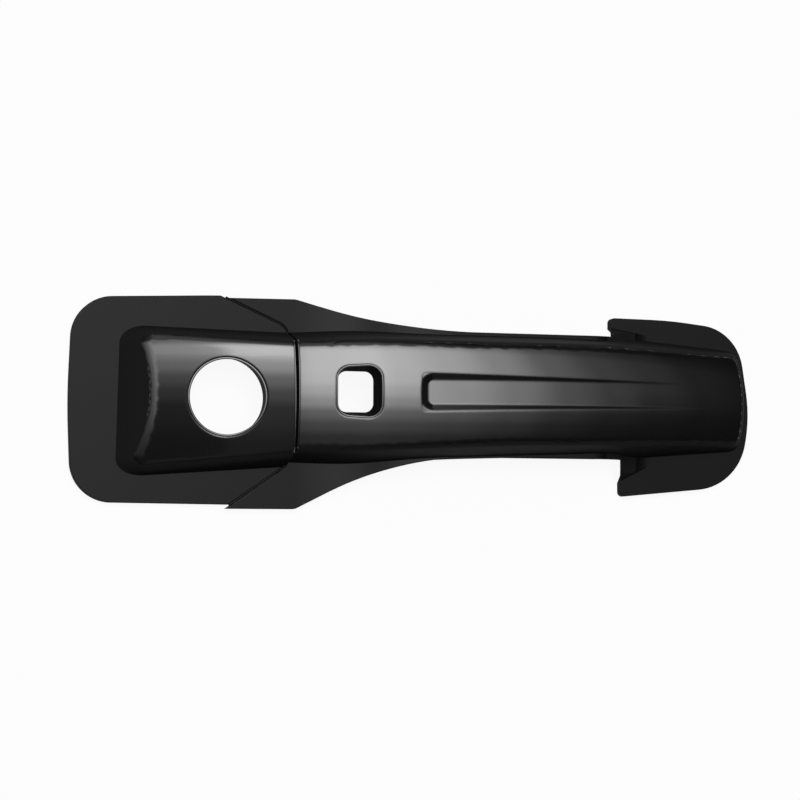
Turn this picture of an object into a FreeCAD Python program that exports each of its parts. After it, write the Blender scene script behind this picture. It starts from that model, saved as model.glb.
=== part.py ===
import FreeCAD, Part
import math
import os

# Stick-on cover for a pull-type car door handle, in two moulded shells.
# Frame: +Z away from the door, +X along the handle, +Y across it, z = 0 on the rims.

# Moulding
WALL = 1.5               # thickness of both shells
END_WALL = 2.4           # the same at the ends of the raised forms
RIM_DEPTH = 3.0          # top of the flanges above the rim
SEAM_GAP = 0.7           # clearance between the two shells
SEAM_LIP = 4.0           # depth of the return lip along the seam
BAR_DRAFT = 16.0         # lean of the raised side walls, in degrees
EDGE_PIECES = 4          # arcs that make up a rounded edge of a raised section
CROWN_PIECES = 8         # and its crowned top

# Flange of the keyhole cap
CAP_LEFT_X = -124.6
CAP_LEFT_BOW = 1.4
CAP_TOP_Y = 37.1         # at the seam
CAP_TOP_DROP = 1.9       # how much lower the outer corners lie
CAP_BOTTOM_Y = -36.0
CAP_BOTTOM_RISE = 0.9
CAP_CORNER_R = 14.5
CAP_TOP_BEND_X = -75.0   # where the top edge starts to drop
CAP_TOP_BEND_R = 200.0
CAP_LEFT_R = 250.0

# Raised pillow of the keyhole cap, with its foot lines at the flange's top
PILLOW_LEFT_X = -108.4
PILLOW_LEFT_LEAN = 1.3   # how much further out its lower corner lies
PILLOW_TOP_Y = 25.9
PILLOW_TOP_DROP = 1.5    # narrowing towards the seam
PILLOW_BOTTOM_Y = -26.3
PILLOW_BOTTOM_RISE = 4.8
PILLOW_END_DRAFT = 50.0
PILLOW_END_Z = 12.6      # crest over the end slope
PILLOW_SEAM_Z = 17.8     # crest at the seam
PILLOW_CROWN_R = 75.0
PILLOW_EDGE_R = 5.0      # edges along its sides, at the seam
PILLOW_FAR_EDGE_R = 8.8  # and at the other end
PILLOW_END_R = 7.6       # edge round its end slope

# Lock cylinder hole
KEYHOLE_X = -73.0
KEYHOLE_Y = 1.0
KEYHOLE_R = 13.6
KEYHOLE_COLLAR = 6.5     # depth of the wall round the hole

# Outline of the handle shell
WING_TOP_Y = 36.6
WING_TOP_DROP = 0.3      # how much lower its far corner lies, under the seam
WING_BOTTOM_Y = -37.1
WING_END_X = -46.5       # where the two inner wings turn in
WING_TOP_R = 4.5
WING_BOTTOM_R = 3.0
STRIP_TOP_Y = 25.9       # edge strip along the grip
STRIP_BOTTOM_Y = -18.6
STRIP_TOP_MEET_X = -7.6  # where the wing's slope would meet the edge strip
STRIP_BOTTOM_MEET_X = -10.0
STRIP_TOP_BEND_R = 190.0
STRIP_BOTTOM_BEND_R = 115.0
PAD_TOP_START_X = 71.6   # cut edges of the two outer wings
PAD_BOTTOM_START_X = 75.0
PAD_TOP_Y = 33.5
PAD_TOP_BEND_X = 95.0    # where the outer wing's edge starts to drop
PAD_TOP_BEND_Y = 33.2
PAD_TOP_BEND_R = 150.0
PAD_BOTTOM_Y = -31.9
PAD_CORNER_R = 1.7
HANDLE_RIGHT_X = 122.0   # corners of the outer end
HANDLE_END_BOW = 4.6
HANDLE_END_BOW_Y = -1.6
HANDLE_TOP_CORNER_Y = 30.2
HANDLE_BOTTOM_CORNER_Y = -27.6
HANDLE_TOP_CORNER_R = 17.5
HANDLE_BOTTOM_CORNER_R = 21.0
HANDLE_END_R = 55.0

# Side view of the edge strip: low wings, then a bridge over the grip
BRIDGE_TOP_Z = 11.5
BRIDGE_RISE_START_X = -47.0
BRIDGE_RISE_END_X = 12.0
BRIDGE_FALL_START_X = 62.0
BRIDGE_FALL_END_X = 86.0
RAMP_TOP_WIDTH = 3.9     # plan width of the step walls at the cut edges
RAMP_BOTTOM_WIDTH = 7.6
RAMP_TIP_WIDTH = 1.0
RAMP_RUN_OUT = 2.0       # how far they run past the bridge's end
RAMP_START_LEAN = 20.0   # lean of their cut edges over the grip, in degrees

# Grip bar, with its foot lines at the flange's top
BAR_END_FLANGE = 1.1     # flange left round the outer end
BAR_SECTIONS = [         # x, and y of both foot lines
    (-60.0, 25.0, -21.0),
    (-30.0, 26.1, -21.4),
    (0.0, 27.0, -21.1),
    (30.0, 27.1, -20.1),
    (62.0, 26.7, -18.9),
    (92.0, 24.7, -16.8),
    (122.0, 22.1, -14.6),
    (134.0, 21.1, -13.7),
]
BAR_EDGE_R = 4.5         # edges along its sides
BAR_END_EDGE_R = 5.5     # the same at the outer end
BAR_END_CORNER_R = 4.8   # edge round the outer end
BAR_END_R = 60.0         # bow of the outer end in plan
BAR_END_CENTRE_Y = 2.5
BAR_END_BOW = 2.6
CROWN_PEAK_X = 21.5
CROWN_PEAK_Z = 26.0
CROWN_CENTRE_Y = 3.0
CROWN_SPINE_R = 333.0
CROWN_R = 65.0

# Seam between the shells
SEAM_X = -49.1
SEAM_TOP_Y = 26.6        # where the seam turns away from the bar
SEAM_BOTTOM_Y = -21.5
SEAM_TOP_SLOPE = 0.45
SEAM_BOTTOM_SLOPE = 0.69
SEAM_TOP_BEND_R = 5.5
SEAM_BOTTOM_BEND_R = 4.5

# Button window in the bar
WINDOW_X = -28.4
WINDOW_Y = 3.35
WINDOW_LENGTH = 12.8     # clear opening at the inner end
WINDOW_HEIGHT = 14.2
WINDOW_FLARE_X = 1.7     # widening of each side up to the surface
WINDOW_FLARE_Y = 2.25
WINDOW_CORNER_R = 3.2
WINDOW_DEPTH = 5.3

# Long sunken panel in the bar, which fades out towards the outer end
PANEL_LEFT_X = -4.0
PANEL_RIGHT_X = 112.0
PANEL_TOP_Y = 7.6
PANEL_BOTTOM_Y = -0.9
PANEL_DEPTH = 1.5
PANEL_TURN = 0.009        # sideways drift for each millimetre along the bar
PANEL_SLOPE = 24.0       # slant of its sides, in degrees
PANEL_CORNER_R = 4.0

# Adhesive foam tape and its release liner, inside the shells
TAPE_THICKNESS = 0.8
LINER_THICKNESS = 0.12
TAPE_WIDTH = 4.0
FLANGE_TAPE_WIDTH = 6.0
WING_TAPE_LENGTH = 10.0
PAD_TAPE_LENGTH = 16.0
CAP_TAPE_SPAN = 39.0     # length of the upright one on the cap
TAPE_MARGIN = 0.4        # clearance to the walls beside a tape

# Reach of the bodies that are trimmed by others
TOP_LIMIT = 60.0         # above everything
OVERSHOOT = 10.0
BELOW = -2.0             # start of bodies that end at the rim
STRAIGHT_TOLERANCE = 1e-7
BEVEL_SHARE = 2.0 - math.sqrt(2.0)      # leg of a bevel that touches an arc of radius 1


def tan_deg(angle):
    return math.tan(math.radians(angle))


def cos_deg(angle):
    return math.cos(math.radians(angle))


def unit(a, b):
    """Unit vector in the plane from point a to point b."""
    length = math.hypot(b[0] - a[0], b[1] - a[1])
    return ((b[0] - a[0]) / length, (b[1] - a[1]) / length)


def inset_corners(corners, insets):
    """Corners of an anticlockwise outline whose sides are each moved inward.

    Side number i runs from corner i to the next one and moves by insets[i].
    """
    count = len(corners)
    moved = []
    for i in range(count):
        before = unit(corners[i - 1], corners[i])
        after = unit(corners[i], corners[(i + 1) % count])
        cross = before[0] * after[1] - before[1] * after[0]
        dot = before[0] * after[0] + before[1] * after[1]
        along = (insets[i] - insets[i - 1] * dot) / cross
        x = corners[i][0] - insets[i - 1] * before[1] - along * before[0]
        y = corners[i][1] + insets[i - 1] * before[0] - along * before[1]
        moved.append((x, y))
    return moved


def rounded_wire(corners, radii, z):
    """Closed wire of straight sides and tangent arcs at height z."""
    count = len(corners)
    bends = []
    for i in range(count):
        here = corners[i]
        back = unit(here, corners[i - 1])
        ahead = unit(here, corners[(i + 1) % count])
        half = 0.5 * math.acos(back[0] * ahead[0] + back[1] * ahead[1])
        reach = radii[i] / math.tan(half)
        depth = radii[i] / math.sin(half) - radii[i]
        bisector = unit((0.0, 0.0), (back[0] + ahead[0], back[1] + ahead[1]))
        start = FreeCAD.Vector(here[0] + reach * back[0], here[1] + reach * back[1], z)
        middle = FreeCAD.Vector(here[0] + depth * bisector[0], here[1] + depth * bisector[1], z)
        end = FreeCAD.Vector(here[0] + reach * ahead[0], here[1] + reach * ahead[1], z)
        bends.append((start, middle, end))
    edges = []
    for i in range(count):
        if radii[i] > 0.0:
            edges.append(Part.Arc(*bends[i]).toShape())
        edges.append(Part.makeLine(bends[i][2], bends[(i + 1) % count][0]))
    return Part.Wire(edges)


def prism(corners, radii, z0, z1):
    """Upright body between two heights over a rounded outline."""
    face = Part.Face(rounded_wire(corners, radii, z0))
    return face.extrude(FreeCAD.Vector(0, 0, z1 - z0))


def side_view_body(edges):
    """Body spread across Y from a closed side view in the XZ plane."""
    body = Part.Face(Part.Wire(edges)).extrude(FreeCAD.Vector(0, 2 * TOP_LIMIT, 0))
    body.translate(FreeCAD.Vector(0, -TOP_LIMIT, 0))
    return body


def ogee(x0, z0, x1, z1):
    """Two equal tangent arcs in the XZ plane, level at both ends."""
    run = x1 - x0
    rise = z1 - z0
    radius = (run * run + rise * rise) / (4 * abs(rise))
    half_turn = 0.5 * math.asin(run / (2 * radius))
    step_x = radius * math.sin(half_turn)
    step_z = math.copysign(radius * (1 - math.cos(half_turn)), rise)
    start = FreeCAD.Vector(x0, 0, z0)
    end = FreeCAD.Vector(x1, 0, z1)
    middle = (start + end) * 0.5
    first = start + FreeCAD.Vector(step_x, 0, step_z)
    last = end - FreeCAD.Vector(step_x, 0, step_z)
    return [Part.Arc(start, first, middle).toShape(), Part.Arc(middle, last, end).toShape()]


def strip_line(drop):
    """Side view of the edge strip's top, lowered by drop."""
    low = RIM_DEPTH - drop
    high = BRIDGE_TOP_Z - drop
    left = FreeCAD.Vector(CAP_LEFT_X - OVERSHOOT, 0, low)
    rise_start = FreeCAD.Vector(BRIDGE_RISE_START_X, 0, low)
    rise_end = FreeCAD.Vector(BRIDGE_RISE_END_X, 0, high)
    fall_start = FreeCAD.Vector(BRIDGE_FALL_START_X, 0, high)
    fall_end = FreeCAD.Vector(BRIDGE_FALL_END_X, 0, low)
    right = FreeCAD.Vector(HANDLE_RIGHT_X + OVERSHOOT, 0, low)
    return ([Part.makeLine(left, rise_start)]
            + ogee(rise_start.x, low, rise_end.x, high)
            + [Part.makeLine(rise_end, fall_start)]
            + ogee(fall_start.x, high, fall_end.x, low)
            + [Part.makeLine(fall_end, right)])


def strip_to_level(drop, z):
    """All that lies between the lowered strip line and a level, across the whole width."""
    line = strip_line(drop)
    start = FreeCAD.Vector(CAP_LEFT_X - OVERSHOOT, 0, RIM_DEPTH - drop)
    end = FreeCAD.Vector(HANDLE_RIGHT_X + OVERSHOOT, 0, RIM_DEPTH - drop)
    far_end = FreeCAD.Vector(end.x, 0, z)
    far_start = FreeCAD.Vector(start.x, 0, z)
    closing = [Part.makeLine(end, far_end), Part.makeLine(far_end, far_start),
               Part.makeLine(far_start, start)]
    return side_view_body(line + closing)


def left_of_seam(shift):
    """Upright body over all that lies left of the seam line moved right by shift."""
    far_x = CAP_LEFT_X - 3 * OVERSHOOT
    end_x = CAP_LEFT_X + 3 * OVERSHOOT
    top_y = SEAM_TOP_Y + SEAM_TOP_SLOPE * (SEAM_X - end_x)
    bottom_y = SEAM_BOTTOM_Y - SEAM_BOTTOM_SLOPE * (SEAM_X - end_x)
    corners = [(far_x, top_y), (far_x, bottom_y), (end_x, bottom_y),
               (SEAM_X, SEAM_BOTTOM_Y), (SEAM_X, SEAM_TOP_Y), (end_x, top_y)]
    moved = inset_corners(corners, [0.0, 0.0, -shift, -shift, -shift, 0.0])
    radii = [0.0, 0.0, 0.0, SEAM_BOTTOM_BEND_R + shift, SEAM_TOP_BEND_R + shift, 0.0]
    return prism(moved, radii, -2 * OVERSHOOT, TOP_LIMIT)


def cap_outline():
    """Plan of the cap's flange, run past the seam."""
    right_x = SEAM_X + OVERSHOOT
    left_top = CAP_TOP_Y - CAP_TOP_DROP
    left_bottom = CAP_BOTTOM_Y + CAP_BOTTOM_RISE
    bow_x = CAP_LEFT_X - CAP_LEFT_BOW
    corners = [(right_x, CAP_TOP_Y), (CAP_TOP_BEND_X, CAP_TOP_Y), (CAP_LEFT_X, left_top),
               (bow_x, 0.5 * (left_top + left_bottom)),
               (CAP_LEFT_X, left_bottom), (right_x, CAP_BOTTOM_Y)]
    return corners, [0.0, CAP_TOP_BEND_R, CAP_CORNER_R, CAP_LEFT_R, CAP_CORNER_R, 0.0]


def edge_hub(foot_y, side, centre, crown_r, edge_r):
    """Centre of the arc that rounds one edge, with the angles at which it starts and ends.

    side is 1 for the upper side and -1 for the lower one. The arc touches the leaning wall
    over foot_y and the crown's circle round centre.
    """
    outward = (side * cos_deg(BAR_DRAFT), math.sin(math.radians(BAR_DRAFT)))
    upward = (-side * outward[1], side * outward[0])
    start = (foot_y - edge_r * outward[0] - centre[0],
             RIM_DEPTH - edge_r * outward[1] - centre[1])
    along = upward[0] * start[0] + upward[1] * start[1]
    rest = start[0] ** 2 + start[1] ** 2 - (crown_r - edge_r) ** 2
    climb = math.sqrt(along * along - rest) - along
    hub = (centre[0] + start[0] + climb * upward[0], centre[1] + start[1] + climb * upward[1])
    to_crown = math.atan2(hub[1] - centre[1], hub[0] - centre[0])
    return hub, math.atan2(outward[1], outward[0]), to_crown


def arc_pieces(x, centre, radius, angles, count):
    """Equal arcs in a row round centre, in the upright plane at x."""
    step = (angles[1] - angles[0]) / (2 * count)
    points = [FreeCAD.Vector(x, centre[0] + radius * math.cos(angles[0] + i * step),
                             centre[1] + radius * math.sin(angles[0] + i * step))
              for i in range(2 * count + 1)]
    return [Part.Arc(*points[i:i + 3]).toShape() for i in range(0, 2 * count, 2)]


def raised_section(x, feet, crest, crown_r, edge_r, offset):
    """Closed upright wire at x: leaning sides, rounded edges and a crowned top.

    With an offset the line lies that far inside, and its edges are bevelled instead.
    """
    centre = (crest[0], crest[1] - crown_r)
    upper, upper_wall, upper_crown = edge_hub(feet[0], 1, centre, crown_r, edge_r)
    lower, lower_wall, lower_crown = edge_hub(feet[1], -1, centre, crown_r, edge_r)
    inner_r = edge_r - offset
    upper_edge = arc_pieces(x, upper, inner_r, (upper_wall, upper_crown), EDGE_PIECES)
    lower_edge = arc_pieces(x, lower, inner_r, (lower_crown, lower_wall), EDGE_PIECES)
    crown = arc_pieces(x, centre, crown_r - offset, (upper_crown, lower_crown), CROWN_PIECES)
    first = upper_edge[0].firstVertex().Point
    last = lower_edge[-1].lastVertex().Point
    if offset:
        upper_edge = [Part.makeLine(first, upper_edge[-1].lastVertex().Point)]
        lower_edge = [Part.makeLine(lower_edge[0].firstVertex().Point, last)]
    arcs = upper_edge + crown + lower_edge
    upper_foot = FreeCAD.Vector(x, first.y + (first.z - BELOW) * tan_deg(BAR_DRAFT), BELOW)
    lower_foot = FreeCAD.Vector(x, last.y - (last.z - BELOW) * tan_deg(BAR_DRAFT), BELOW)
    return Part.Wire([Part.makeLine(upper_foot, first)] + arcs
                     + [Part.makeLine(last, lower_foot), Part.makeLine(lower_foot, upper_foot)])


def leaning_block(edges, lean_x):
    """Body over a plan outline that leans along X by lean_x for each millimetre of height."""
    start_z = BELOW - OVERSHOOT
    face = Part.Face(Part.Wire(edges))
    face.translate(FreeCAD.Vector((start_z - RIM_DEPTH) * lean_x, 0, start_z))
    height = TOP_LIMIT - start_z
    return face.extrude(FreeCAD.Vector(height * lean_x, 0, height))


def with_round_end(body, end_sign, radius):
    """Rounds the edge that runs up, over and down round the body's end face."""
    end = max(body.Faces, key=lambda face: end_sign * face.CenterOfMass.x)
    edges = [edge for edge in end.Edges if edge.BoundBox.ZMax > RIM_DEPTH]
    return solid_of(body.makeFillet(radius, edges))


def pillow_crest(x):
    """Height of the pillow's crest line, which rises evenly to the seam."""
    end_x = PILLOW_LEFT_X + (PILLOW_END_Z - RIM_DEPTH) * tan_deg(PILLOW_END_DRAFT)
    slope = (PILLOW_SEAM_Z - PILLOW_END_Z) / (SEAM_X - end_x)
    return PILLOW_SEAM_Z - slope * (SEAM_X - x)


def is_straight(edge):
    span = edge.lastVertex().Point - edge.firstVertex().Point
    return math.isclose(edge.Length, span.Length, rel_tol=STRAIGHT_TOLERANCE)


def with_flat_faces(body):
    """The same body, with a true plane under each flat face that has straight edges."""
    faces = []
    for face in body.Faces:
        if face.findPlane() and all(is_straight(edge) for edge in face.Edges):
            corners = [vertex.Point for vertex in face.OuterWire.OrderedVertexes]
            faces.append(Part.Face(Part.makePolygon(corners + corners[:1])))
        else:
            faces.append(face)
    shell = Part.makeShell(faces)
    shell.sewShape()
    return Part.makeSolid(shell.Shells[0])


def pillow_loft(offset):
    """The pillow's long form, run past both of its ends."""
    run = SEAM_X + OVERSHOOT - PILLOW_LEFT_X
    sections = []
    for x, edge_r in ((SEAM_X + OVERSHOOT, PILLOW_EDGE_R), (CAP_LEFT_X, PILLOW_FAR_EDGE_R)):
        share = (x - PILLOW_LEFT_X) / run
        feet = (PILLOW_TOP_Y - share * PILLOW_TOP_DROP,
                PILLOW_BOTTOM_Y + share * PILLOW_BOTTOM_RISE)
        sections.append(raised_section(x, feet, (KEYHOLE_Y, pillow_crest(x)),
                                       PILLOW_CROWN_R, edge_r, offset))
    return with_flat_faces(Part.makeLoft(sections, True, True))


def pillow_body(offset):
    """Rounded raised pillow of the cap, or with an offset the hollow inside it."""
    far_x = SEAM_X + 2 * OVERSHOOT
    inset = END_WALL if offset else 0.0
    left_x = PILLOW_LEFT_X + inset / cos_deg(PILLOW_END_DRAFT)
    lean = PILLOW_LEFT_LEAN / (PILLOW_TOP_Y - PILLOW_BOTTOM_Y)
    bevel = offset + BEVEL_SHARE * (PILLOW_END_R - offset) if offset else -OVERSHOOT
    upper_y = PILLOW_TOP_Y - bevel
    lower_y = PILLOW_BOTTOM_Y + bevel
    upper_x = left_x + lean * (upper_y - PILLOW_TOP_Y)
    lower_x = left_x + lean * (lower_y - PILLOW_TOP_Y)
    points = ((far_x, TOP_LIMIT), (upper_x + TOP_LIMIT - upper_y, TOP_LIMIT),
              (upper_x, upper_y), (lower_x, lower_y),
              (lower_x + TOP_LIMIT + lower_y, -TOP_LIMIT), (far_x, -TOP_LIMIT))
    corners = [FreeCAD.Vector(x, y, 0) for x, y in points]
    block = leaning_block(Part.makePolygon(corners + corners[:1]).Edges, tan_deg(PILLOW_END_DRAFT))
    body = solid_of(pillow_loft(offset).common(block))
    return body if offset else with_round_end(body, -1, PILLOW_END_R)


def spine_height(x):
    """Height of the bar's crest line, an arc in the side view."""
    step = x - CROWN_PEAK_X
    return CROWN_PEAK_Z - CROWN_SPINE_R + math.sqrt(CROWN_SPINE_R ** 2 - step * step)


def bar_loft(offset):
    """The bar's long form, run past both of its ends."""
    sections = []
    for x, top_y, bottom_y in BAR_SECTIONS:
        edge_r = BAR_EDGE_R if x < HANDLE_RIGHT_X - 3 * OVERSHOOT else BAR_END_EDGE_R
        sections.append(raised_section(x, (top_y, bottom_y), (CROWN_CENTRE_Y, spine_height(x)),
                                       CROWN_R, edge_r, offset))
    return with_flat_faces(Part.makeLoft(sections, True, False))


def bar_body(offset):
    """Rounded raised bar, or with an offset the hollow inside it."""
    start_x = SEAM_X - 3 * OVERSHOOT
    inset = END_WALL if offset else 0.0
    peak_x = HANDLE_RIGHT_X - BAR_END_FLANGE + BAR_END_BOW - inset / cos_deg(BAR_DRAFT)
    half_angle = math.asin((TOP_LIMIT - 2 * OVERSHOOT) / BAR_END_R)
    side_x = peak_x - BAR_END_R * (1 - math.cos(half_angle))
    side_y = BAR_END_R * math.sin(half_angle)
    upper = FreeCAD.Vector(side_x, BAR_END_CENTRE_Y + side_y, 0)
    lower = FreeCAD.Vector(side_x, BAR_END_CENTRE_Y - side_y, 0)
    middle = FreeCAD.Vector(peak_x, BAR_END_CENTRE_Y, 0)
    far_lower = FreeCAD.Vector(start_x, lower.y, 0)
    far_upper = FreeCAD.Vector(start_x, upper.y, 0)
    edges = [Part.Arc(lower, middle, upper).toShape(), Part.makeLine(upper, far_upper),
             Part.makeLine(far_upper, far_lower), Part.makeLine(far_lower, lower)]
    block = leaning_block(edges, -tan_deg(BAR_DRAFT))
    body = solid_of(bar_loft(offset).common(block))
    return body if offset else with_round_end(body, 1, BAR_END_CORNER_R)


def strip_outline():
    """Plan of the inner wings and of the edge strip along the grip."""
    left_x = SEAM_X - 3 * OVERSHOOT
    right_x = BRIDGE_FALL_END_X
    corners = [(left_x, WING_TOP_Y - WING_TOP_DROP), (left_x, WING_BOTTOM_Y),
               (WING_END_X, WING_BOTTOM_Y), (STRIP_BOTTOM_MEET_X, STRIP_BOTTOM_Y),
               (right_x, STRIP_BOTTOM_Y), (right_x, STRIP_TOP_Y),
               (STRIP_TOP_MEET_X, STRIP_TOP_Y), (WING_END_X, WING_TOP_Y)]
    radii = [0.0, 0.0, WING_BOTTOM_R, STRIP_BOTTOM_BEND_R,
             0.0, 0.0, STRIP_TOP_BEND_R, WING_TOP_R]
    return corners, radii


def pad_outline():
    """Plan of the outer wings and the outer end of the flange."""
    corners = [(PAD_TOP_START_X, CROWN_CENTRE_Y), (PAD_BOTTOM_START_X, HANDLE_END_BOW_Y),
               (PAD_BOTTOM_START_X, PAD_BOTTOM_Y), (HANDLE_RIGHT_X, HANDLE_BOTTOM_CORNER_Y),
               (HANDLE_RIGHT_X + HANDLE_END_BOW, HANDLE_END_BOW_Y),
               (HANDLE_RIGHT_X, HANDLE_TOP_CORNER_Y), (PAD_TOP_BEND_X, PAD_TOP_BEND_Y),
               (PAD_TOP_START_X, PAD_TOP_Y)]
    radii = [0.0, 0.0, PAD_CORNER_R, HANDLE_BOTTOM_CORNER_R, HANDLE_END_R,
             HANDLE_TOP_CORNER_R, PAD_TOP_BEND_R, PAD_CORNER_R]
    return corners, radii


def shrunk(outline, inset):
    corners, radii = outline
    return inset_corners(corners, [inset] * len(corners)), [max(0.0, r - inset) for r in radii]


def ramp(side, start_x, edge_y, width, offset):
    """Step wall between the bridge and an outer wing, leaning out towards the wing."""
    height = BRIDGE_TOP_Z - RIM_DEPTH
    lean = width / height
    shift = offset * math.hypot(1.0, lean)
    end_x = BRIDGE_FALL_END_X + RAMP_RUN_OUT - offset
    wires = []
    for z in (BELOW, BRIDGE_TOP_Z + RIM_DEPTH):
        drop = (BRIDGE_TOP_Z - z) / height
        cut_x = start_x - (z - RIM_DEPTH) * tan_deg(RAMP_START_LEAN)
        near_x = cut_x - (OVERSHOOT if offset else 0.0)
        near_y = edge_y + side * (drop * width - shift)
        far_y = edge_y + side * (drop * RAMP_TIP_WIDTH - shift)
        points = [(near_x, CROWN_CENTRE_Y), (end_x, CROWN_CENTRE_Y), (end_x, far_y),
                  (cut_x, near_y), (near_x, near_y)]
        if not offset:
            points = points[:4]
        ring = [FreeCAD.Vector(x, y, z) for x, y in points]
        wires.append(Part.makePolygon(ring + ring[:1]))
    return Part.makeLoft(wires, True, True)


def solid_of(shape):
    return shape.Solids[0]


def panel_floor(x):
    """Height of the panel's floor, as deep as PANEL_DEPTH at its inner end."""
    fade = (PANEL_RIGHT_X - x) / (PANEL_RIGHT_X - PANEL_LEFT_X)
    return spine_height(x) - PANEL_DEPTH * fade


def panel_cutter(drop):
    """Trough with slanted sides and a rounded inner end, lowered by drop."""
    lift = 3.0 * PANEL_DEPTH
    flare = lift / tan_deg(PANEL_SLOPE)
    first_x = PANEL_LEFT_X - OVERSHOOT
    last_x = PANEL_RIGHT_X + OVERSHOOT
    middle_x = 0.5 * (first_x + last_x)
    wires = []
    for y, rise in ((PANEL_BOTTOM_Y - flare, lift), (PANEL_BOTTOM_Y, 0.0),
                    (PANEL_TOP_Y, 0.0), (PANEL_TOP_Y + flare, lift)):
        points = [FreeCAD.Vector(x, y + PANEL_TURN * (x - PANEL_LEFT_X), panel_floor(x) + rise - drop)
                  for x in (first_x, middle_x, last_x)]
        upper = [FreeCAD.Vector(p.x, p.y, TOP_LIMIT) for p in (points[2], points[0])]
        wires.append(Part.Wire([Part.Arc(*points).toShape(), Part.makeLine(points[2], upper[0]),
                                Part.makeLine(upper[0], upper[1]),
                                Part.makeLine(upper[1], points[0])]))
    trough = Part.makeLoft(wires, True, True)
    floor_z = panel_floor(PANEL_LEFT_X) - drop
    slope_run = (TOP_LIMIT - floor_z) / tan_deg(PANEL_SLOPE)
    corners = [(PANEL_LEFT_X, floor_z), (PANEL_LEFT_X - slope_run, TOP_LIMIT),
               (last_x, TOP_LIMIT), (last_x, 0.0), (PANEL_LEFT_X, 0.0)]
    ring = [FreeCAD.Vector(x, 0, z) for x, z in corners]
    end_slope = side_view_body(Part.makePolygon(ring + ring[:1]).Edges)
    trough = solid_of(trough.common(end_slope))
    diagonals = [edge for edge in trough.Edges if is_panel_diagonal(edge, floor_z)]
    return trough.makeFillet(PANEL_CORNER_R, diagonals)


def is_panel_diagonal(edge, floor_z):
    """True for the two edges where the panel's sides meet its sloping inner end."""
    ends = [vertex.Point for vertex in edge.Vertexes]
    if len(ends) != 2:
        return False
    low, high = sorted(ends, key=lambda point: point.z)
    return (abs(low.z - floor_z) < 0.1 and high.z > floor_z + 1.0
            and abs(low.x - PANEL_LEFT_X) < 0.1 and high.x < low.x - 1.0)


def window_well(offset, low_z):
    """Flared body of the button window, or with an offset its wall's outside."""
    surface_z = spine_height(WINDOW_X)
    wires = []
    for z in (surface_z - WINDOW_DEPTH, surface_z + WINDOW_DEPTH):
        grow = 1.0 + (z - surface_z) / WINDOW_DEPTH
        half_x = 0.5 * WINDOW_LENGTH + grow * WINDOW_FLARE_X + offset
        half_y = 0.5 * WINDOW_HEIGHT + grow * WINDOW_FLARE_Y + offset
        corners = [(WINDOW_X + half_x, WINDOW_Y + half_y), (WINDOW_X - half_x, WINDOW_Y + half_y),
                   (WINDOW_X - half_x, WINDOW_Y - half_y), (WINDOW_X + half_x, WINDOW_Y - half_y)]
        radius = WINDOW_CORNER_R + grow * WINDOW_FLARE_X + offset
        wires.append(rounded_wire(corners, [radius] * 4, z))
    well = Part.makeLoft(wires, True, True)
    if low_z is None:
        return well
    throat = Part.Face(wires[0]).extrude(FreeCAD.Vector(0, 0, low_z - wires[0].BoundBox.ZMin))
    return well.fuse(throat)


def handle_solid():
    """The handle shell's outside, filled."""
    strip = prism(*strip_outline(), BELOW, TOP_LIMIT).common(strip_to_level(0.0, BELOW))
    strip = strip.cut(strip_to_level(RIM_DEPTH, BELOW - 1.0))
    pads = prism(*pad_outline(), 0.0, RIM_DEPTH)
    under = strip_to_level(0.0, 0.0)
    ramps = [step.common(under) for step in ramps_with(0.0)]
    bar = bar_body(0.0).cut(strip_to_level(RIM_DEPTH, -OVERSHOOT)).cut(panel_cutter(0.0))
    return strip.fuse([pads] + ramps + [bar]).removeSplitter()


def ramps_with(offset):
    top = ramp(1, PAD_TOP_START_X, STRIP_TOP_Y, RAMP_TOP_WIDTH, offset)
    bottom = ramp(-1, PAD_BOTTOM_START_X, STRIP_BOTTOM_Y, RAMP_BOTTOM_WIDTH, offset)
    return [top, bottom]


def handle_hollow():
    """The room inside the handle shell, open below."""
    under = strip_to_level(WALL, -OVERSHOOT)
    strip = prism(*shrunk(strip_outline(), WALL), -OVERSHOOT, TOP_LIMIT).common(under)
    pads = prism(*shrunk(pad_outline(), WALL), -OVERSHOOT, RIM_DEPTH - WALL)
    ramps = [step.common(under) for step in ramps_with(WALL)]
    bar = bar_body(WALL).cut(panel_cutter(WALL / cos_deg(PANEL_SLOPE)))
    return strip.fuse([pads] + ramps + [bar])


def with_seam_lip(solid, hollow, keep, keep_inside):
    """Shell wall with a short return lip where keep trims it.

    keep trims a body to this side of the seam, and keep_inside does so one wall further in.
    """
    lowered = hollow.copy()
    lowered.translate(FreeCAD.Vector(0, 0, WALL - SEAM_LIP))
    return keep(solid).cut(keep_inside(hollow)).cut(lowered)


def handle_shell():
    gap = 0.5 * SEAM_GAP
    seam = left_of_seam(gap)
    inner_seam = left_of_seam(gap + WALL)
    shell = with_seam_lip(handle_solid(), handle_hollow(),
                          lambda body: body.cut(seam), lambda body: body.cut(inner_seam))
    wall = window_well(WALL, None).common(bar_loft(0.0))
    return solid_of(shell.fuse(wall).cut(window_well(0.0, BELOW)))


def cap_solid():
    """The keyhole cap's outside, filled."""
    flange = prism(*cap_outline(), 0.0, RIM_DEPTH)
    pillow = pillow_body(0.0).cut(strip_to_level(RIM_DEPTH, -OVERSHOOT))
    return flange.fuse(pillow).removeSplitter()


def cap_hollow():
    plate = prism(*shrunk(cap_outline(), WALL), -OVERSHOOT, RIM_DEPTH - WALL)
    return plate.fuse(pillow_body(WALL))


def keyhole_cylinder(radius, z0):
    return Part.makeCylinder(radius, TOP_LIMIT, FreeCAD.Vector(KEYHOLE_X, KEYHOLE_Y, z0))


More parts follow.
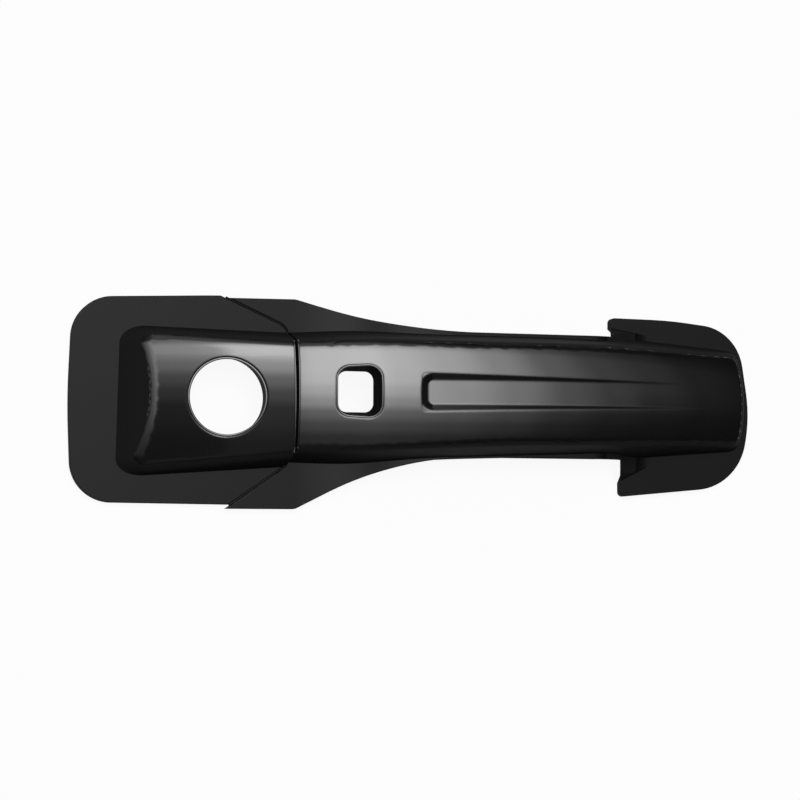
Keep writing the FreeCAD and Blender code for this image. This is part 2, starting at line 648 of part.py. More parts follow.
def cap_shell():
    gap = 0.5 * SEAM_GAP
    seam = left_of_seam(-gap)
    inner_seam = left_of_seam(-gap - WALL)
    shell = with_seam_lip(cap_solid(), cap_hollow(),
                          lambda body: body.common(seam), lambda body: body.common(inner_seam))
    crest = pillow_crest(KEYHOLE_X)
    collar = keyhole_cylinder(KEYHOLE_R + WALL, crest - KEYHOLE_COLLAR).common(pillow_loft(0.0))
    return solid_of(shell.fuse(collar).cut(keyhole_cylinder(KEYHOLE_R, BELOW)))


def tape_pair(x0, x1, y0, y1, layer):
    """Foam tape against a shell's inner face and the liner against the tape."""
    corners = [(x1, y1), (x0, y1), (x0, y0), (x1, y0)]
    plan = prism(corners, [0.0] * 4, -OVERSHOOT, TOP_LIMIT)
    tape = plan.common(layer(WALL, TAPE_THICKNESS))
    liner = plan.common(layer(WALL + TAPE_THICKNESS, LINER_THICKNESS))
    return solid_of(tape), solid_of(liner)


def flange_layer(depth, thickness):
    """Thin layer that follows the flange and the bridge at a depth under their top."""
    return strip_to_level(depth, -OVERSHOOT).cut(strip_to_level(depth + thickness, -OVERSHOOT - 1.0))


def crown_layer(depth, thickness):
    """Thin layer that follows the bar's crown at a depth under it."""
    return bar_loft(depth).cut(bar_loft(depth + thickness))


def seam_side_x(y, slope, corner_y, shift):
    """Where the seam's slanted run, moved right by shift, crosses y."""
    return SEAM_X - (y - corner_y) / slope + shift * math.hypot(1.0, slope) / abs(slope)


def tapes():
    """Every tape's place: name, plan rectangle and the layer that it follows."""
    half = 0.5 * FLANGE_TAPE_WIDTH
    lip = 0.5 * SEAM_GAP + WALL + TAPE_MARGIN
    cap_top = 0.5 * (CAP_TOP_Y - CAP_TOP_DROP - WALL + PILLOW_TOP_Y)
    cap_bottom = 0.5 * (CAP_BOTTOM_Y + CAP_BOTTOM_RISE + WALL + PILLOW_BOTTOM_Y)
    cap_left = 0.5 * (CAP_LEFT_X + PILLOW_LEFT_X)
    cap_start = CAP_LEFT_X + CAP_CORNER_R + TAPE_MARGIN
    cap_top_end = seam_side_x(CAP_TOP_Y, SEAM_TOP_SLOPE, SEAM_TOP_Y, -lip)
    cap_bottom_end = seam_side_x(CAP_BOTTOM_Y, -SEAM_BOTTOM_SLOPE, SEAM_BOTTOM_Y, -lip)
    wing_top = STRIP_TOP_Y + 2 * WALL
    wing_top_x = seam_side_x(wing_top, SEAM_TOP_SLOPE, SEAM_TOP_Y, lip)
    wing_bottom = SEAM_BOTTOM_Y - WALL - TAPE_MARGIN
    wing_bottom_x = seam_side_x(wing_bottom, -SEAM_BOTTOM_SLOPE, SEAM_BOTTOM_Y, lip)
    pad_x = BRIDGE_FALL_END_X + RAMP_RUN_OUT + TAPE_MARGIN
    pad_top = STRIP_TOP_Y - TAPE_MARGIN
    pad_bottom = STRIP_BOTTOM_Y + TAPE_MARGIN
    panel_side = PANEL_DEPTH / tan_deg(PANEL_SLOPE) + WALL + TAPE_MARGIN
    bar_upper = PANEL_TOP_Y + PANEL_TURN * (BRIDGE_FALL_END_X - PANEL_LEFT_X) + panel_side
    bar_lower = PANEL_BOTTOM_Y - panel_side
    middle_y = 0.5 * (cap_top + cap_bottom)
    span = 0.5 * CAP_TAPE_SPAN
    return [
        ("cap_top_tape", cap_start, cap_top_end, cap_top - half, cap_top + half, flange_layer),
        ("cap_left_tape", cap_left - half, cap_left + half,
         middle_y - span, middle_y + span, flange_layer),
        ("cap_bottom_tape", cap_start, cap_bottom_end,
         cap_bottom - half, cap_bottom + half, flange_layer),
        ("inner_wing_top_tape", wing_top_x, wing_top_x + WING_TAPE_LENGTH,
         wing_top, wing_top + TAPE_WIDTH, flange_layer),
        ("inner_wing_bottom_tape", wing_bottom_x, wing_bottom_x + WING_TAPE_LENGTH,
         wing_bottom - FLANGE_TAPE_WIDTH, wing_bottom, flange_layer),
        ("outer_wing_top_tape", pad_x, pad_x + PAD_TAPE_LENGTH,
         pad_top, pad_top + TAPE_WIDTH, flange_layer),
        ("outer_wing_bottom_tape", pad_x, pad_x + PAD_TAPE_LENGTH,
         pad_bottom - FLANGE_TAPE_WIDTH, pad_bottom, flange_layer),
        ("bar_upper_tape", PANEL_LEFT_X, BRIDGE_FALL_END_X,
         bar_upper, bar_upper + TAPE_WIDTH, crown_layer),
        ("bar_lower_tape", PANEL_LEFT_X, BRIDGE_FALL_END_X,
         bar_lower - TAPE_WIDTH, bar_lower, crown_layer),
    ]


def main():
    parts = {"keyhole_cap_shell": cap_shell(), "handle_shell": handle_shell()}
    for name, x0, x1, y0, y1, layer in tapes():
        parts[name], parts[name.replace("tape", "liner")] = tape_pair(x0, x1, y0, y1, layer)
    os.makedirs("parts", exist_ok=True)
    for name, shape in parts.items():
        shape.exportStep(f"parts/{name}.step")
        box = shape.BoundBox
        print(name, shape.isValid(), len(shape.Solids), f"{shape.Volume:.1f}",
              f"x {box.XMin:.2f} {box.XMax:.2f} y {box.YMin:.2f} {box.YMax:.2f}"
              f" z {box.ZMin:.2f} {box.ZMax:.2f}")


main()
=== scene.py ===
"""Looks of a stick-on cover for a pull-type car door handle, in gloss black plastic."""

import logging
import math
from dataclasses import dataclass
from enum import Enum

import bmesh
import bpy
import numpy as np
from mathutils import Matrix, Vector

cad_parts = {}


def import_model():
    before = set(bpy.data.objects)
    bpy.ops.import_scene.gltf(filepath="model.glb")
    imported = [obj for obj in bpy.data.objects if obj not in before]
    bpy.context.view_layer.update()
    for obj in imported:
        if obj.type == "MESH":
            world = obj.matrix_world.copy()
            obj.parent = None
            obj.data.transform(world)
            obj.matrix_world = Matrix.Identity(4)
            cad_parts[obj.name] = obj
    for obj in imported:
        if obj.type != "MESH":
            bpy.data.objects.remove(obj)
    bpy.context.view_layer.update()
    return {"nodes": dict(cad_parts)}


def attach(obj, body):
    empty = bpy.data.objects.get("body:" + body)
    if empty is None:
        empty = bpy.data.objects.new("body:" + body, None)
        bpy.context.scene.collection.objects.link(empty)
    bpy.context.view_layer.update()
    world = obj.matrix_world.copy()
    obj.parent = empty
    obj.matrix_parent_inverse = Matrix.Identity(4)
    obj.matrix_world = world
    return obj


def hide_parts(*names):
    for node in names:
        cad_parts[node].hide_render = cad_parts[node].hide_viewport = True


LOG = logging.getLogger("handle_cover")
MM = 0.001
FLANGE_TOP = 3.0 * MM


class Slot(Enum):
    """Finishes that the record names for this cover."""

    SHELL = "moulded_shell"
    FOAM = "foam_tape"
    LINER = "release_liner"


def new_material(name: str) -> tuple[bpy.types.Material, bpy.types.ShaderNodeTree]:
    """Starts an empty node material.

    Args:
        name: Name of the material.

    Returns:
        The material and its node tree, which holds nothing yet.
    """
    material = bpy.data.materials.new(name)
    material.use_nodes = True
    material.node_tree.nodes.clear()
    return material, material.node_tree


def add_node(tree: bpy.types.NodeTree, kind: str, **settings: object) -> bpy.types.Node:
    """Adds one node and sets its sockets or properties.

    Args:
        tree: Node tree that takes the node.
        kind: Blender's type name of the node.
        **settings: Socket names, with underscores for spaces, or property names.

    Returns:
        The new node.
    """
    node = tree.nodes.new(kind)
    for key, value in settings.items():
        socket = node.inputs.get(key.replace("_", " "))
        if socket is not None:
            socket.default_value = value
        else:
            setattr(node, key, value)
    return node


@dataclass(frozen=True)
class GlossShellFinish:
    """Polished black moulding with the faint waviness of a glossy skin."""

    colour: tuple[float, float, float, float] = (0.003, 0.003, 0.0032, 1.0)
    coat: float = 1.0
    specular: float = 0.5
    edge_radius: float = 1.2 * MM
    roughness: float = 0.07
    roughness_spread: float = 0.03
    wave_size: float = 9.0 * MM
    wave_depth: float = 0.012 * MM
    grain_size: float = 0.9 * MM
    grain_depth: float = 0.0006 * MM
    smudge_size: float = 33.3333333333 * MM
    refraction: float = 1.5
    coat_roughness: float = 0.03
    edge_samples: int = 8

    def build(self, name: str) -> bpy.types.Material:
        """Builds the material, with its pattern on Object coordinates.

        Args:
            name: Name of the material.

        Returns:
            The finished material.
        """
        material, tree = new_material(name)
        link = tree.links.new
        output = add_node(tree, "ShaderNodeOutputMaterial")
        shader = add_node(tree, "ShaderNodeBsdfPrincipled", Base_Color=self.colour,
                          IOR=self.refraction, Coat_Weight=self.coat,
                          Coat_Roughness=self.coat_roughness, Specular_IOR_Level=self.specular)
        link(shader.outputs["BSDF"], output.inputs["Surface"])
        place = add_node(tree, "ShaderNodeTexCoord")
        edges = add_node(tree, "ShaderNodeBevel", samples=self.edge_samples,
                         Radius=self.edge_radius)
        waves = add_node(tree, "ShaderNodeTexNoise", Scale=1.0 / self.wave_size, Detail=1.0)
        grain = add_node(tree, "ShaderNodeTexNoise", Scale=1.0 / self.grain_size, Detail=2.0)
        smudge = add_node(tree, "ShaderNodeTexNoise", Scale=1.0 / self.smudge_size, Detail=3.0)
        for pattern in (waves, grain, smudge):
            link(place.outputs["Object"], pattern.inputs["Vector"])
        polish = add_node(tree, "ShaderNodeMapRange")
        polish.inputs["To Min"].default_value = self.roughness - self.roughness_spread
        polish.inputs["To Max"].default_value = self.roughness + self.roughness_spread
        link(smudge.outputs["Fac"], polish.inputs["Value"])
        link(polish.outputs["Result"], shader.inputs["Roughness"])
        wavy = add_node(tree, "ShaderNodeBump", Strength=1.0, Distance=self.wave_depth)
        grainy = add_node(tree, "ShaderNodeBump", Strength=1.0, Distance=self.grain_depth)
        link(edges.outputs["Normal"], wavy.inputs["Normal"])
        link(waves.outputs["Fac"], wavy.inputs["Height"])
        link(grain.outputs["Fac"], grainy.inputs["Height"])
        link(wavy.outputs["Normal"], grainy.inputs["Normal"])
        for socket in ("Normal", "Coat Normal"):
            link(grainy.outputs["Normal"], shader.inputs[socket])
        return material


@dataclass(frozen=True)
class FoamFinish:
    """Dark closed-cell foam, matt, with fine pores."""

    colour: tuple[float, float, float, float] = (0.055, 0.055, 0.06, 1.0)
    pore_size: float = 0.35 * MM
    pore_depth: float = 0.05 * MM

    def build(self, name: str) -> bpy.types.Material:
        """Builds the foam material.

        Args:
            name: Name of the material.

        Returns:
            The finished material.
        """
        material, tree = new_material(name)
        link = tree.links.new
        output = add_node(tree, "ShaderNodeOutputMaterial")
        shader = add_node(tree, "ShaderNodeBsdfPrincipled", Base_Color=self.colour, Roughness=0.9)
        place = add_node(tree, "ShaderNodeTexCoord")
        pores = add_node(tree, "ShaderNodeTexVoronoi", Scale=1.0 / self.pore_size)
        bump = add_node(tree, "ShaderNodeBump", Strength=0.8, Distance=self.pore_depth)
        link(place.outputs["Object"], pores.inputs["Vector"])
        link(pores.outputs["Distance"], bump.inputs["Height"])
        link(bump.outputs["Normal"], shader.inputs["Normal"])
        link(shader.outputs["BSDF"], output.inputs["Surface"])
        return material


@dataclass(frozen=True)
class LinerFinish:
    """Red plastic film over the tape, with a faint crinkle."""

    colour: tuple[float, float, float, float] = (0.55, 0.03, 0.03, 1.0)
    crinkle_size: float = 3.0 * MM
    crinkle_depth: float = 0.06 * MM

    def build(self, name: str) -> bpy.types.Material:
        """Builds the film material.

        Args:
            name: Name of the material.

        Returns:
            The finished material.
        """
        material, tree = new_material(name)
        link = tree.links.new
        output = add_node(tree, "ShaderNodeOutputMaterial")
        shader = add_node(tree, "ShaderNodeBsdfPrincipled", Base_Color=self.colour, Roughness=0.28)
        place = add_node(tree, "ShaderNodeTexCoord")
        crinkle = add_node(tree, "ShaderNodeTexNoise", Scale=1.0 / self.crinkle_size, Detail=2.0)
        bump = add_node(tree, "ShaderNodeBump", Strength=0.6, Distance=self.crinkle_depth)
        link(place.outputs["Object"], crinkle.inputs["Vector"])
        link(crinkle.outputs["Fac"], bump.inputs["Height"])
        link(bump.outputs["Normal"], shader.inputs["Normal"])
        link(shader.outputs["BSDF"], output.inputs["Surface"])
        return material


@dataclass(frozen=True)
class PaleFloorFinish:
    """White studio floor that keeps a soft shadow."""

    colour: tuple[float, float, float, float] = (0.9, 0.9, 0.9, 1.0)
    lift: float = 0.92

    def build(self, name: str) -> bpy.types.Material:
        """Builds the floor: plain matt white, lifted towards full white where it is seen.

        Args:
            name: Name of the material.

        Returns:
            The finished material.
        """
        material, tree = new_material(name)
        link = tree.links.new
        output = add_node(tree, "ShaderNodeOutputMaterial")
        matt = add_node(tree, "ShaderNodeBsdfDiffuse", Color=self.colour)
        glow = add_node(tree, "ShaderNodeEmission", Color=(1.0, 1.0, 1.0, 1.0), Strength=1.0)
        path = add_node(tree, "ShaderNodeLightPath")
        seen = add_node(tree, "ShaderNodeMath", operation="MAXIMUM")
        through = add_node(tree, "ShaderNodeMath", operation="MAXIMUM")
        share = add_node(tree, "ShaderNodeMath", operation="MULTIPLY")
        link(path.outputs["Is Camera Ray"], seen.inputs[0])
        link(path.outputs["Is Glossy Ray"], seen.inputs[1])
        link(seen.outputs[0], through.inputs[0])
        link(path.outputs["Is Transmission Ray"], through.inputs[1])
        link(through.outputs[0], share.inputs[0])
        share.inputs[1].default_value = self.lift
        mix = add_node(tree, "ShaderNodeMixShader")
        link(share.outputs[0], mix.inputs["Fac"])
        link(matt.outputs[0], mix.inputs[1])
        link(glow.outputs[0], mix.inputs[2])
        link(mix.outputs[0], output.inputs["Surface"])
        return material


@dataclass
class PhotoCamera:
    """Camera at the photograph's viewing angle."""

    target: tuple[float, float, float] = (-5.4 * MM, 1.2 * MM, 3.0 * MM)
    turn_deg: float = 16.0
    tilt_deg: float = 4.0
    distance: float = 0.8
    width_at_target: float = 284.5 * MM
    shift: tuple[float, float] = (-0.01, 0.0025)

    def build(self) -> bpy.types.Object:
        """Makes the camera and hands it to the scene.

        Returns:
            The camera object.
        """
        turn = math.radians(self.turn_deg)
        tilt = math.radians(self.tilt_deg)
        back = Vector((-math.sin(turn) * math.cos(tilt), -math.sin(tilt),
                       math.cos(turn) * math.cos(tilt)))
        right = Vector((math.cos(turn), 0.0, math.sin(turn)))
        up = back.cross(right)
        data = bpy.data.cameras.new("photo_camera")
        data.lens = data.sensor_width * self.distance / self.width_at_target
        data.shift_x, data.shift_y = self.shift
        data.clip_start = 0.01
        camera = bpy.data.objects.new("photo_camera", data)
        place = Matrix((right, up, back)).transposed().to_4x4()
        place.translation = Vector(self.target) + back * self.distance
        camera.matrix_world = place
        bpy.context.scene.collection.objects.link(camera)
        bpy.context.scene.camera = camera
        return camera


@dataclass(frozen=True)
class AngleProfile:
    """Brightness of the soft light against one angle from straight up, in degrees."""

    stops: tuple[tuple[float, float], ...]

    def build(self, tree: bpy.types.NodeTree, sideways: bpy.types.NodeSocket,
              upright: bpy.types.NodeSocket) -> bpy.types.NodeSocket:
        """Adds the nodes that turn a direction into this profile's brightness.

        Args:
            tree: The world's node tree.
            sideways: Part of the direction that the angle leans to.
            upright: Its part along Z.

        Returns:
            The socket that gives the brightness.
        """
        angle = add_node(tree, "ShaderNodeMath", operation="ARCTAN2")
        tree.links.new(sideways, angle.inputs[0])
        tree.links.new(upright, angle.inputs[1])
        share = add_node(tree, "ShaderNodeMapRange")
        share.inputs["From Min"].default_value = -math.pi / 2
        share.inputs["From Max"].default_value = math.pi / 2
        tree.links.new(angle.outputs[0], share.inputs["Value"])
        ramp = add_node(tree, "ShaderNodeValToRGB")
        ramp.color_ramp.interpolation = "EASE"
        while len(ramp.color_ramp.elements) < len(self.stops):
            ramp.color_ramp.elements.new(1.0)
        for element, (degrees, level) in zip(ramp.color_ramp.elements, self.stops):
            element.position = 0.5 + degrees / 180.0
            element.color = (level, level, level, 1.0)
        tree.links.new(share.outputs[0], ramp.inputs["Fac"])
        return ramp.outputs["Color"]


@dataclass
class Studio:
    """Pale floor under one large overhead light whose edges fade softly."""

    floor_half: float = 30.0
    light_level: float = 6.2
    fill_level: float = 0.03
    backdrop: float = 0.9
    across: AngleProfile = AngleProfile((
        (-60.0, 0.06), (-44.0, 0.16), (-28.0, 0.3), (-16.0, 0.5), (-8.0, 0.95), (0.0, 1.0),
        (4.0, 0.85), (12.0, 0.66), (20.0, 0.4), (28.0, 0.17), (36.0, 0.075), (44.0, 0.04),
        (52.0, 0.015), (62.0, 0.004)))
    along: AngleProfile = AngleProfile((
        (-80.0, 0.0), (-45.0, 0.015), (-25.0, 0.04), (-17.0, 0.1), (-9.0, 0.22), (-2.0, 0.5),
        (5.0, 0.75), (12.0, 0.95), (20.0, 1.0), (30.0, 1.0), (35.0, 0.6), (40.0, 0.2),
        (47.0, 0.1), (78.0, 0.06)))

    def build(self) -> None:
        """Builds floor and light."""
        self._floor()
        self._light()

    def _floor(self) -> None:
        """Lays a square floor under the rims."""
        half = self.floor_half
        mesh = bpy.data.meshes.new("studio_floor")
        corners = [(-half, -half, 0.0), (half, -half, 0.0), (half, half, 0.0), (-half, half, 0.0)]
        mesh.from_pydata(corners, [], [(0, 1, 2, 3)])
        floor = bpy.data.objects.new("studio_floor", mesh)
        mesh.materials.append(PaleFloorFinish().build("pale_floor"))
        bpy.context.scene.collection.objects.link(floor)

    def _light(self) -> None:
        """Lights the world: the two profiles multiplied, over a dim even fill."""
        world = bpy.data.worlds.new("studio_light")
        world.use_nodes = True
        tree = world.node_tree
        tree.nodes.clear()
        place = add_node(tree, "ShaderNodeTexCoord")
        parts = add_node(tree, "ShaderNodeSeparateXYZ")
        tree.links.new(place.outputs["Generated"], parts.inputs[0])
        across = self.across.build(tree, parts.outputs["X"], parts.outputs["Z"])
        along = self.along.build(tree, parts.outputs["Y"], parts.outputs["Z"])
        both = add_node(tree, "ShaderNodeMath", operation="MULTIPLY")
        tree.links.new(across, both.inputs[0])
        tree.links.new(along, both.inputs[1])
        level = add_node(tree, "ShaderNodeMath", operation="MULTIPLY_ADD")
        tree.links.new(both.outputs[0], level.inputs[0])
        level.inputs[1].default_value = self.light_level
        level.inputs[2].default_value = self.fill_level
        path = add_node(tree, "ShaderNodeLightPath")
        shown = add_node(tree, "ShaderNodeMix")
        tree.links.new(path.outputs["Is Camera Ray"], shown.inputs["Factor"])
        tree.links.new(level.outputs[0], shown.inputs["A"])
        shown.inputs["B"].default_value = self.backdrop
        background = add_node(tree, "ShaderNodeBackground", Color=(1.0, 1.0, 1.0, 1.0))
        tree.links.new(shown.outputs[0], background.inputs["Strength"])
        output = add_node(tree, "ShaderNodeOutputWorld")
        tree.links.new(background.outputs[0], output.inputs["Surface"])
        bpy.context.scene.world = world


class Skin(Enum):
    """Finishes on a moulding, in the order of its material slots."""

    GLOSS = 0
    SATIN = 1
    MATT = 2
    # Painted shade: a blacker copy of the matt finish, for the walls inside the holes.
    DARK = 3


@dataclass(frozen=True)
class Crown:
    """Curved top of a raised form: an arc across, and along it an arc or a straight slope."""

    peak: tuple[float, float, float]
    section_r: float
    spine_r: float
    rise: float = 0.0
    lower_lean: float = 0.0
    lower_span: tuple[float, float] = (14.0 * MM, 19.0 * MM)
    end_lean: float = 0.0
    end_span: tuple[float, float] = (-86.0 * MM, -56.0 * MM)

    def height(self, x: np.ndarray, y: np.ndarray) -> np.ndarray:
        """Height of the crown: its peak, plus the rise, less the sag of both arcs.

        Args:
            x: Places along the cover.
            y: Places across it.

        Returns:
            Heights at these places.
        """
        along = x - self.peak[0]
        across = y - self.peak[1]
        sag = self.spine_r - np.sqrt(self.spine_r ** 2 - along ** 2)
        sag += self.section_r - np.sqrt(self.section_r ** 2 - across ** 2)
        return self.peak[2] + self.rise * along - sag

    def directions(self, x: np.ndarray, y: np.ndarray) -> np.ndarray:
        """Directions in which the crown looks, of unit length.

        Args:
            x: Places along the cover.
            y: Places across it.

        Returns:
            One row for each place.
        """
        along = x - self.peak[0]
        across = y - self.peak[1]
        slope_x = along / np.sqrt(self.spine_r ** 2 - along ** 2) - self.rise
        slope_y = across / np.sqrt(self.section_r ** 2 - across ** 2)
        rows = np.column_stack([slope_x, slope_y, np.ones_like(slope_x)])
        return rows / np.linalg.norm(rows, axis=1)[:, None]

    def leaned(self, directions: np.ndarray, x: np.ndarray, y: np.ndarray) -> np.ndarray:
        """Leans the directions below the upper edge downwards and those near the end outwards.

        Args:
            directions: Directions of the crown.
            x: Places along the cover.
            y: Places across it.

        Returns:
            The leaned directions, of unit length.
        """
        rows = directions.copy()
        rows[:, 1] -= self.lower_lean * eased(y, self.lower_span)
        rows[:, 0] -= self.end_lean * eased(x, self.end_span)
        return rows / np.linalg.norm(rows, axis=1)[:, None]


def eased(values: np.ndarray, span: tuple[float, float]) -> np.ndarray:
    """Share that falls smoothly from one at the near end of a span to none at its far end.

    Args:
        values: Places along the span's axis.
        span: Near and far end.

    Returns:
        Shares at these places.
    """
    share = np.clip((span[1] - values) / (span[1] - span[0]), 0.0, 1.0)
    return share * share * (3.0 - 2.0 * share)


CAP_CROWN = Crown((-49.1 * MM, 1.0 * MM, 17.8 * MM), section_r=75.0 * MM, spine_r=1000.0,
                  rise=0.1087, lower_lean=0.2, end_lean=0.16)
BAR_CROWN = Crown((21.5 * MM, 3.0 * MM, 26.0 * MM), section_r=65.0 * MM, spine_r=333.0 * MM)


@dataclass
class CoverShells:
    """The two mouldings: gloss on their raised tops, satin on flange and wings, matt on walls."""

    skins: tuple[tuple[str, str, Crown], ...] = (
        ("keyhole_cap_shell", "cap_moulding", CAP_CROWN),
        ("handle_shell", "handle_moulding", BAR_CROWN))
    gloss: GlossShellFinish = GlossShellFinish()
    satin: GlossShellFinish = GlossShellFinish(coat=0.0, specular=0.106, roughness=0.22,
                                               edge_radius=0.4 * MM)
    matt: GlossShellFinish = GlossShellFinish((0.012, 0.012, 0.0125, 1.0), coat=0.0,
                                              specular=0.02, roughness=0.55,
                                              edge_radius=0.4 * MM)
    # Painted shade: the matt finish in a blacker colour, put on the walls inside the holes.
    hole_shade: GlossShellFinish = GlossShellFinish((0.001, 0.001, 0.001, 1.0), coat=0.0,
                                              specular=0.02, roughness=0.55,
                                              edge_radius=0.1 * MM)
    merge_distance: float = 0.001 * MM
    crease_deg: float = 15.0
    bridge_span: tuple[float, float] = (-48.0 * MM, 88.0 * MM)
    bridge_height: float = 11.7 * MM
    flat_limit: float = 0.9
    crown_cone_deg: float = 9.0
    crown_band: float = 0.45 * MM
    gloss_limit: float = 0.8
    ramp_span: tuple[float, float] = (64.0 * MM, 92.0 * MM)
    ramp_height: float = 12.5 * MM
    ramp_lean: float = 0.28
    # Holes whose matt walls take the painted-shade finish: middle x, middle y and reach.
    holes: tuple[tuple[float, float, float], ...] = (
        (-73.0 * MM, 1.0 * MM, 14.4 * MM), (-28.4 * MM, 3.35 * MM, 11.5 * MM))

    def build(self, nodes: dict[str, bpy.types.Object]) -> dict[Skin, bpy.types.Material]:
        """Builds and dresses both skins.

        Args:
            nodes: The cover's rigid pieces by name.

        Returns:
            The materials of the mouldings.
        """
        materials = {Skin.GLOSS: self.gloss.build("gloss_black_moulding"),
                     Skin.SATIN: self.satin.build("satin_black_flange"),
                     Skin.MATT: self.matt.build("matt_black_walls"),
                     Skin.DARK: self.hole_shade.build("hole_walls_painted_shade")}
        for node_name, name, crown in self.skins:
            piece = self._skin(nodes[node_name], name)
            for skin in Skin:
                piece.data.materials.append(materials[skin])
            self._choose_finishes(piece.data)
            self._shade_crown(piece.data, crown)
            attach(piece, "root")
            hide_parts(node_name)
            LOG.info("%s: %d faces", name, len(piece.data.polygons))
        return materials

    def _skin(self, node: bpy.types.Object, name: str) -> bpy.types.Object:
        """Copies a moulding's mesh, merges its loose triangles and smooths it up to its creases.

        Args:
            node: The moulding.
            name: Name of the skin.

        Returns:
            The skin, in the moulding's place.
        """
        form = bmesh.new()
        form.from_mesh(node.data)
        bmesh.ops.remove_doubles(form, verts=form.verts, dist=self.merge_distance)
        mesh = bpy.data.meshes.new(name)
        form.to_mesh(mesh)
        form.free()
        mesh.materials.clear()
        if "custom_normal" in mesh.attributes:
            mesh.attributes.remove(mesh.attributes["custom_normal"])
        mesh.shade_smooth()
        mesh.set_sharp_from_angle(angle=math.radians(self.crease_deg))
        piece = bpy.data.objects.new(name, mesh)
        bpy.context.scene.collection.objects.link(piece)
        return piece

    def _choose_finishes(self, mesh: bpy.types.Mesh) -> None:
        """Chooses each face's finish by where it looks and how high it lies.

        A face is level where it looks up and lies no higher than the flange, or than the
        bridge over the bridge's span, and then it is satin. Of the others those that look
        upward are gloss, the walls, the ramps down from the bridge and the inside are matt,
        and the walls of the holes take a blacker copy of the matt finish, as painted shade.

        Args:
            mesh: The skin's mesh.
        """
        count = len(mesh.polygons)
        normals = np.empty(count * 3)
        centres = np.empty(count * 3)
        mesh.polygons.foreach_get("normal", normals)
        mesh.polygons.foreach_get("center", centres)
        lean, _, upward = normals.reshape(-1, 3).T
        x, y, z = centres.reshape(-1, 3).T
        over_bridge = (x > self.bridge_span[0]) & (x < self.bridge_span[1])
        limit = np.where(over_bridge, self.bridge_height, FLANGE_TOP + 0.1 * MM)
        flat = (upward > self.flat_limit) & (z < limit)
        finish = np.where(upward > self.gloss_limit, Skin.GLOSS.value, Skin.MATT.value)
        finish[flat] = Skin.SATIN.value
        over_ramp = (x > self.ramp_span[0]) & (x < self.ramp_span[1])
        finish[over_ramp & (z < self.ramp_height) & (lean > self.ramp_lean)] = Skin.MATT.value
        # Painted shade: matt faces inside the holes take the blacker copy of the matt finish.
        for hole_x, hole_y, reach in self.holes:
            inside = np.hypot(x - hole_x, y - hole_y) < reach
            finish[inside & (finish == Skin.MATT.value)] = Skin.DARK.value
        mesh.polygons.foreach_set("material_index", finish.astype(np.int32))
        mesh.update()

    def _shade_crown(self, mesh: bpy.types.Mesh, crown: Crown) -> None:
        """Shades a skin's top by the crown it follows, so that no triangle shows in its gloss.

        A corner takes the crown's direction where it lies on the crown and its own direction
        is close to it. All other corners keep theirs.

        Args:
            mesh: The skin's mesh.
            crown: The crown that the top follows.
        """
        count = len(mesh.loops)
        normals = np.empty(count * 3)
        places = np.empty(len(mesh.vertices) * 3)
        owners = np.empty(count, dtype=np.int32)
        mesh.corner_normals.foreach_get("vector", normals)
        mesh.vertices.foreach_get("co", places)
        mesh.loops.foreach_get("vertex_index", owners)
        normals = normals.reshape(-1, 3)
        x, y, z = places.reshape(-1, 3)[owners].T
        true = crown.directions(x, y)
        close = np.einsum("ij,ij->i", normals, true) > math.cos(math.radians(self.crown_cone_deg))
        follows = close & (np.abs(z - crown.height(x, y)) < self.crown_band)
        normals[follows] = crown.leaned(true, x, y)[follows]
        mesh.normals_split_custom_set(normals.tolist())
        LOG.info("%s: %d of %d corners follow the crown", mesh.name, follows.sum(), count)


def rounded_path(corners: np.ndarray, radii: list[float], step: float) -> np.ndarray:
    """Runs a line through corners in plan, each rounded by an arc that touches both runs.

    The arc's centre lies on the corner's half-way line, at the radius over the cosine of half
    the turn, and its points are spread evenly over the turn.

    Args:
        corners: Corners in order, one row each.
        radii: Radius at each inner corner.
        step: Largest distance between points.

    Returns:
        Points along the path, one row each.
    """
    parts = [corners[:1]]
    for before, corner, after, radius in zip(corners, corners[1:], corners[2:], radii):
        way_in = (corner - before) / np.linalg.norm(corner - before)
        way_out = (after - corner) / np.linalg.norm(after - corner)
        turn = math.acos(float(np.clip(way_in @ way_out, -1.0, 1.0)))
        reach = radius * math.tan(0.5 * turn)
        side = np.sign(way_in[0] * way_out[1] - way_in[1] * way_out[0])
        inward = side * np.array([-way_in[1], way_in[0]])
        start = corner - reach * way_in
        angles = np.linspace(0.0, turn, max(3, int(radius * turn / step)))[:, None]
        parts.append(start + radius * (np.sin(angles) * way_in + (1 - np.cos(angles)) * inward))
    parts.append(corners[-1:])
    rough = np.vstack(parts)
    lengths = np.concatenate(([0.0], np.cumsum(np.linalg.norm(np.diff(rough, axis=0), axis=1))))
    even = np.linspace(0.0, lengths[-1], int(lengths[-1] / step) + 1)
    return np.column_stack([np.interp(even, lengths, rough[:, i]) for i in range(2)])


def swept_mesh(name: str, rings: np.ndarray, looped: bool = False) -> bpy.types.Mesh:
    """Makes a closed body from a row of rings, with a flat face over each end or in a loop.

    Args:
        name: Name of the mesh.
        rings: Ring points, indexed by place along the body, place round the ring, and axis.
        looped: True where the last ring joins the first.

    Returns:
        The mesh.
    """
    count, around, _ = rings.shape
    index = np.arange(count * around).reshape(count, around)
    near = index if looped else index[:-1]
    far = np.roll(index, -1, axis=0) if looped else index[1:]
    quads = np.stack([near, far, np.roll(far, -1, axis=1), np.roll(near, -1, axis=1)], axis=-1)
    faces = quads.reshape(-1, 4).tolist()
    if not looped:
        faces += [index[0].tolist(), index[-1][::-1].tolist()]
    mesh = bpy.data.meshes.new(name)
    mesh.from_pydata(rings.reshape(-1, 3).tolist(), [], faces)
    mesh.update()
    return mesh


